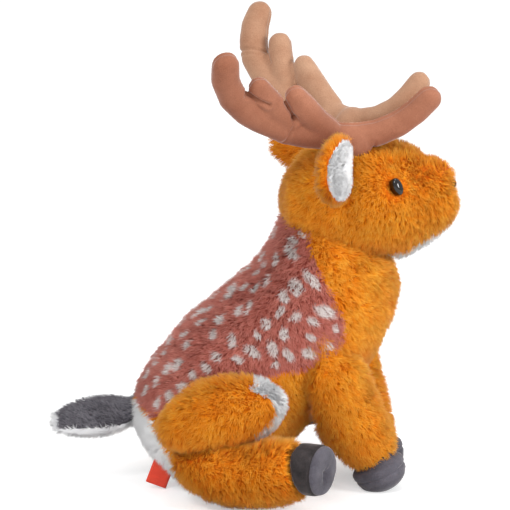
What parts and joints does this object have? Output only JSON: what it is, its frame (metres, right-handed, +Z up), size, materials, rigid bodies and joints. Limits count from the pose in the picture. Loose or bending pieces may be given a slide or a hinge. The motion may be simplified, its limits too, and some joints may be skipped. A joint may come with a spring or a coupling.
{
  "type": "plush deer",
  "caption": "Sitting stuffed toy deer with velour antlers, cupped ears, a spotted saddle, folded hind legs, hooves and a short tail.",
  "frame": {"origin": "on the floor, under the middle of the toy's box", "axes": "+X the way the deer faces, +Y its left, +Z up"},
  "size_m": [0.2636, 0.2128, 0.2948],
  "materials": {
    "orange_pile": "long soft pile plush",
    "saddle_pile": "short dense pile with pale spots",
    "white_pile": "soft white pile",
    "antler_velour": "short velour",
    "hoof_pile": "dark short pile",
    "sole_velour": "grey velour",
    "tail_pile": "grey short pile",
    "filling": "loose fibre filling",
    "pellet_bag": "woven bag of pellets",
    "eye": "polished black",
    "nose": "satin stitched",
    "washer": "natural moulded",
    "ribbon": "woven ribbon, bare"
  },
  "bodies": {
    "torso": {"back_panel": "saddle_pile", "rump_panel": "white_pile", "chest_panel": "orange_pile", "pellet_bag": "pellet_bag", "body_stuffing": "filling", "side_label": "ribbon"},
    "head": {"head_panel": "orange_pile", "chin_panel": "white_pile", "head_stuffing": "filling", "nose": "nose", "eye_left": "eye", "eye_right": "eye", "eye_washer_left": "washer", "eye_washer_right": "washer"},
    "tail": {"tail_top": "tail_pile", "tail_underside": "white_pile"},
    "ear_left": {"ear_back_left": "orange_pile", "ear_lining_left": "white_pile"},
    "antler_left": {"antler_outer_left": "antler_velour", "antler_inner_left": "antler_velour"},
    "front_leg_left": {"front_leg_left": "orange_pile", "front_hoof_left": "hoof_pile", "front_sole_left": "sole_velour"},
    "hind_leg_left": {"hind_thigh_left": "orange_pile", "thigh_trim_left": "white_pile", "hind_foot_left": "orange_pile", "hind_hoof_left": "hoof_pile", "hind_sole_left": "sole_velour"},
    "ear_right": {"ear_back_right": "orange_pile", "ear_lining_right": "white_pile"},
    "antler_right": {"antler_outer_right": "antler_velour", "antler_inner_right": "antler_velour"},
    "front_leg_right": {"front_leg_right": "orange_pile", "front_hoof_right": "hoof_pile", "front_sole_right": "sole_velour"},
    "hind_leg_right": {"hind_thigh_right": "orange_pile", "thigh_trim_right": "white_pile", "hind_foot_right": "orange_pile", "hind_hoof_right": "hoof_pile", "hind_sole_right": "sole_velour"}
  },
  "joints": [
    {"name": "head_nod", "type": "hinge", "parent": "torso", "child": "head", "pos_m": [0.05, 0, 0.16], "axis": [0, 1, 0], "range_deg": [-8, 8], "stiffness_Nm_per_rad": 4},
    {"name": "ear_left_flap", "type": "hinge", "parent": "head", "child": "ear_left", "pos_m": [0.057, 0.03574, 0.20858], "axis": [-0.0214, 0.0754, -0.9969], "range_deg": [-15, 15], "stiffness_Nm_per_rad": 0.2},
    {"name": "ear_right_flap", "type": "hinge", "parent": "head", "child": "ear_right", "pos_m": [0.057, -0.03275, 0.21258], "axis": [0.0531, 0.1087, 0.9927], "range_deg": [-15, 15], "stiffness_Nm_per_rad": 0.2},
    {"name": "antler_left_bend", "type": "hinge", "parent": "head", "child": "antler_left", "pos_m": [0.0615, 0.01866, 0.23088], "axis": [0.8862, -0.4419, 0.1392], "range_deg": [-6, 6], "stiffness_Nm_per_rad": 1.5},
    {"name": "antler_right_bend", "type": "hinge", "parent": "head", "child": "antler_right", "pos_m": [0.0615, -0.01866, 0.22788], "axis": [0.9649, 0.2228, 0.1392], "range_deg": [-6, 6], "stiffness_Nm_per_rad": 1.5},
    {"name": "front_leg_left_swing", "type": "hinge", "parent": "torso", "child": "front_leg_left", "pos_m": [0.0465, 0.03248, 0.1], "axis": [0, 1, 0], "range_deg": [-8, 8], "stiffness_Nm_per_rad": 3},
    {"name": "front_leg_right_swing", "type": "hinge", "parent": "torso", "child": "front_leg_right", "pos_m": [0.0405, -0.03248, 0.1], "axis": [0, 1, 0], "range_deg": [-8, 8], "stiffness_Nm_per_rad": 3},
    {"name": "hind_leg_left_splay", "type": "hinge", "parent": "torso", "child": "hind_leg_left", "pos_m": [-0.05, 0.056, 0.0585], "axis": [0, 0, 1], "range_deg": [0, 12], "stiffness_Nm_per_rad": 3},
    {"name": "hind_leg_right_splay", "type": "hinge", "parent": "torso", "child": "hind_leg_right", "pos_m": [-0.05, -0.056, 0.0585], "axis": [0, 0, 1], "range_deg": [-12, 0], "stiffness_Nm_per_rad": 3},
    {"name": "tail_lift", "type": "hinge", "parent": "torso", "child": "tail", "pos_m": [-0.075, 0, 0.047], "axis": [0, 1, 0], "range_deg": [-20, 25], "stiffness_Nm_per_rad": 0.5}
  ]
}
